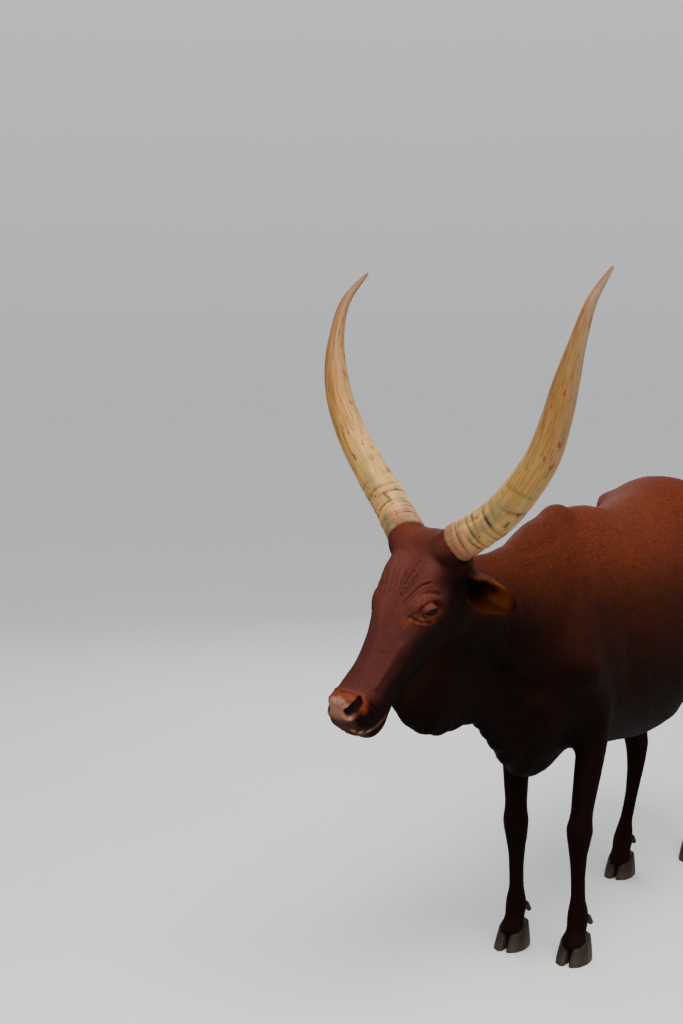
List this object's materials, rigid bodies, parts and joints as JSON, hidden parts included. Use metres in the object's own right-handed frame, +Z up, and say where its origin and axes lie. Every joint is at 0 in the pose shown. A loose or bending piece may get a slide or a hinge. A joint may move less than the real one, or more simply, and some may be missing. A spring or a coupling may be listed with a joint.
{
  "type": "ankole watusi cow",
  "caption": "Life-size standing ankole watusi cow with great upswept horns and a dark red-brown coat, its head turned a little to its right.",
  "frame": {"origin": "middle of the bounding box's bottom, on the floor", "axes": "+X towards the animal's front, +Y to its left, +Z up"},
  "size_m": [2.275, 0.8972, 1.9497],
  "materials": {
    "coat": "short flat hair, dark red-brown",
    "long_hair": "long coarse hair, nearly black",
    "bare_skin": "thin bare skin",
    "horn": "worn ivory-coloured horn",
    "hoof": "dark worn horn",
    "eye": "wet, nearly black"
  },
  "bodies": {
    "root": {"head": "coat", "neck": "coat", "torso": "coat", "udder": "bare_skin", "ear_left": "coat", "ear_right": "coat", "eye_left": "eye", "eye_right": "eye", "horn_left": "horn", "horn_right": "horn", "tail_dock": "coat", "tail_switch": "long_hair", "foreleg_left_upper": "coat", "foreleg_left_lower": "coat", "foreleg_left_claw_inner": "hoof", "foreleg_left_claw_outer": "hoof", "foreleg_left_dewclaw_inner": "hoof", "foreleg_left_dewclaw_outer": "hoof", "foreleg_right_upper": "coat", "foreleg_right_lower": "coat", "foreleg_right_claw_inner": "hoof", "foreleg_right_claw_outer": "hoof", "foreleg_right_dewclaw_inner": "hoof", "foreleg_right_dewclaw_outer": "hoof", "hindleg_left_upper": "coat", "hindleg_left_lower": "coat", "hindleg_left_claw_inner": "hoof", "hindleg_left_claw_outer": "hoof", "hindleg_left_dewclaw_inner": "hoof", "hindleg_left_dewclaw_outer": "hoof", "hindleg_right_upper": "coat", "hindleg_right_lower": "coat", "hindleg_right_claw_inner": "hoof", "hindleg_right_claw_outer": "hoof", "hindleg_right_dewclaw_inner": "hoof", "hindleg_right_dewclaw_outer": "hoof"}
  },
  "joints": []
}
